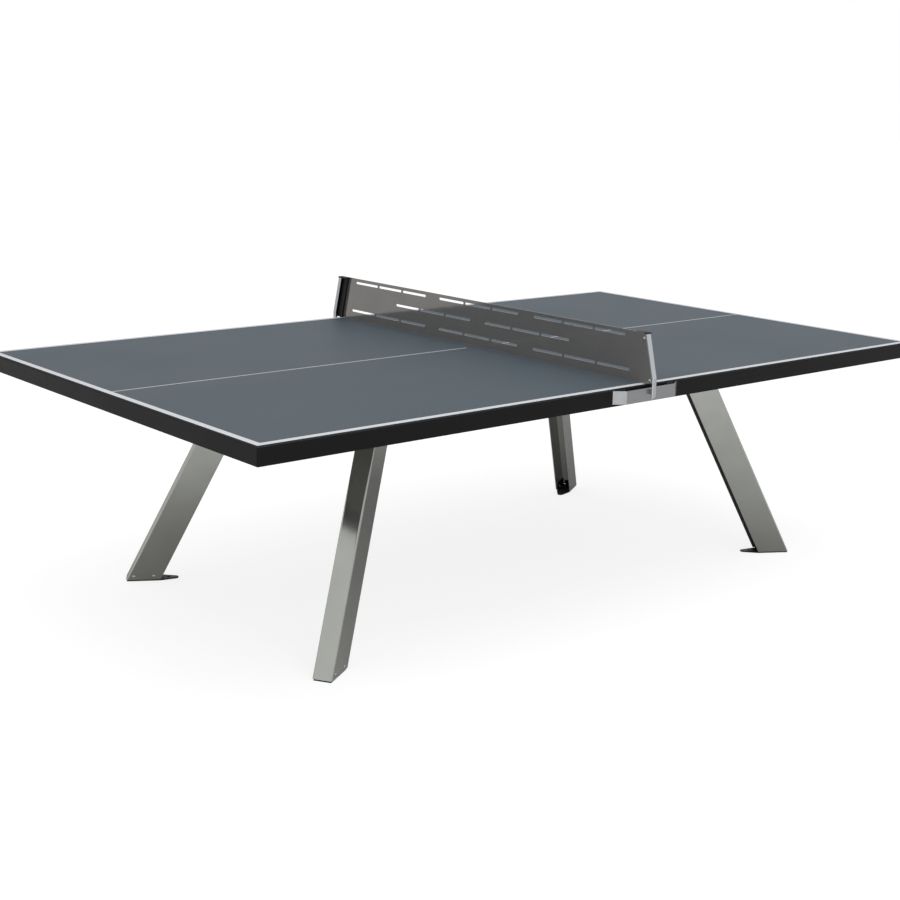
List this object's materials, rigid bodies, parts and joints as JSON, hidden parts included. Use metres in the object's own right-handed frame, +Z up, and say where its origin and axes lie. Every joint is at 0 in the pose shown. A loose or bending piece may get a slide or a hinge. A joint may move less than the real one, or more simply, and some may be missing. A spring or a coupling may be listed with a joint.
{
  "type": "table tennis table",
  "caption": "Outdoor table tennis table with a dark grey top, black steel apron, splayed open channel legs on black feet, and a slotted steel net on leaning posts.",
  "frame": {"origin": "on the ground under the middle of the table", "axes": "+X along the table's length, +Y across it, +Z up"},
  "size_m": [2.74, 1.594, 0.913],
  "materials": {
    "playing_surface": "matt dark grey compact laminate",
    "frame_black": "satin black powder coat on steel",
    "leg_steel": "linished stainless steel, clear lacquered",
    "foot_black": "matt black powder coat on steel",
    "net_steel": "linished stainless steel, and zinc plate on the brackets",
    "cap_black": "matt black moulded plastic",
    "fastener_steel": "zinc plated or stainless screws"
  },
  "bodies": {
    "table": {"apron_end_left": "frame_black", "apron_end_right": "frame_black", "apron_far_left": "frame_black", "apron_far_right": "frame_black", "apron_near_left": "frame_black", "apron_near_right": "frame_black", "bracket_bolts": "fastener_steel", "bracket_nuts": "fastener_steel", "centre_rail_left": "frame_black", "centre_rail_right": "frame_black", "clamp_nuts": "fastener_steel", "clamp_screws": "fastener_steel", "cross_beam_inner_left": "frame_black", "cross_beam_inner_right": "frame_black", "cross_beam_outer_left": "frame_black", "cross_beam_outer_right": "frame_black", "frame_bolts": "fastener_steel", "frame_nuts": "fastener_steel", "hook_nuts": "fastener_steel", "hook_screws": "fastener_steel", "leg_bolts": "fastener_steel", "leg_far_left": "leg_steel", "leg_far_right": "leg_steel", "leg_near_left": "leg_steel", "leg_near_right": "leg_steel", "leg_nuts": "fastener_steel", "leg_plate_far_left": "leg_steel", "leg_plate_far_right": "leg_steel", "leg_plate_near_left": "leg_steel", "leg_plate_near_right": "leg_steel", "net_bracket_far": "net_steel", "net_bracket_near": "net_steel", "panel_screws": "fastener_steel", "playing_panel_left": "playing_surface", "playing_panel_right": "playing_surface"},
    "net": {"net_nuts": "fastener_steel", "net_post_far": "net_steel", "net_post_near": "net_steel", "net_screws": "fastener_steel", "net_sheet": "net_steel", "post_cap_far": "cap_black", "post_cap_near": "cap_black"},
    "foot_far_left": {"foot_far_left": "foot_black"},
    "foot_far_right": {"foot_far_right": "foot_black"},
    "foot_near_left": {"foot_near_left": "foot_black"},
    "foot_near_right": {"foot_near_right": "foot_black"}
  },
  "joints": [
    {"name": "net_lift", "type": "slide", "parent": "table", "child": "net", "axis": [0, 0, 1], "range_m": [0, 0.06]},
    {"name": "foot_far_left_adjust", "type": "slide", "parent": "table", "child": "foot_far_left", "axis": [0, 0, -1], "range_m": [0, 0.008]},
    {"name": "foot_far_right_adjust", "type": "slide", "parent": "table", "child": "foot_far_right", "axis": [0, 0, -1], "range_m": [0, 0.008]},
    {"name": "foot_near_left_adjust", "type": "slide", "parent": "table", "child": "foot_near_left", "axis": [0, 0, -1], "range_m": [0, 0.008]},
    {"name": "foot_near_right_adjust", "type": "slide", "parent": "table", "child": "foot_near_right", "axis": [0, 0, -1], "range_m": [0, 0.008]}
  ]
}
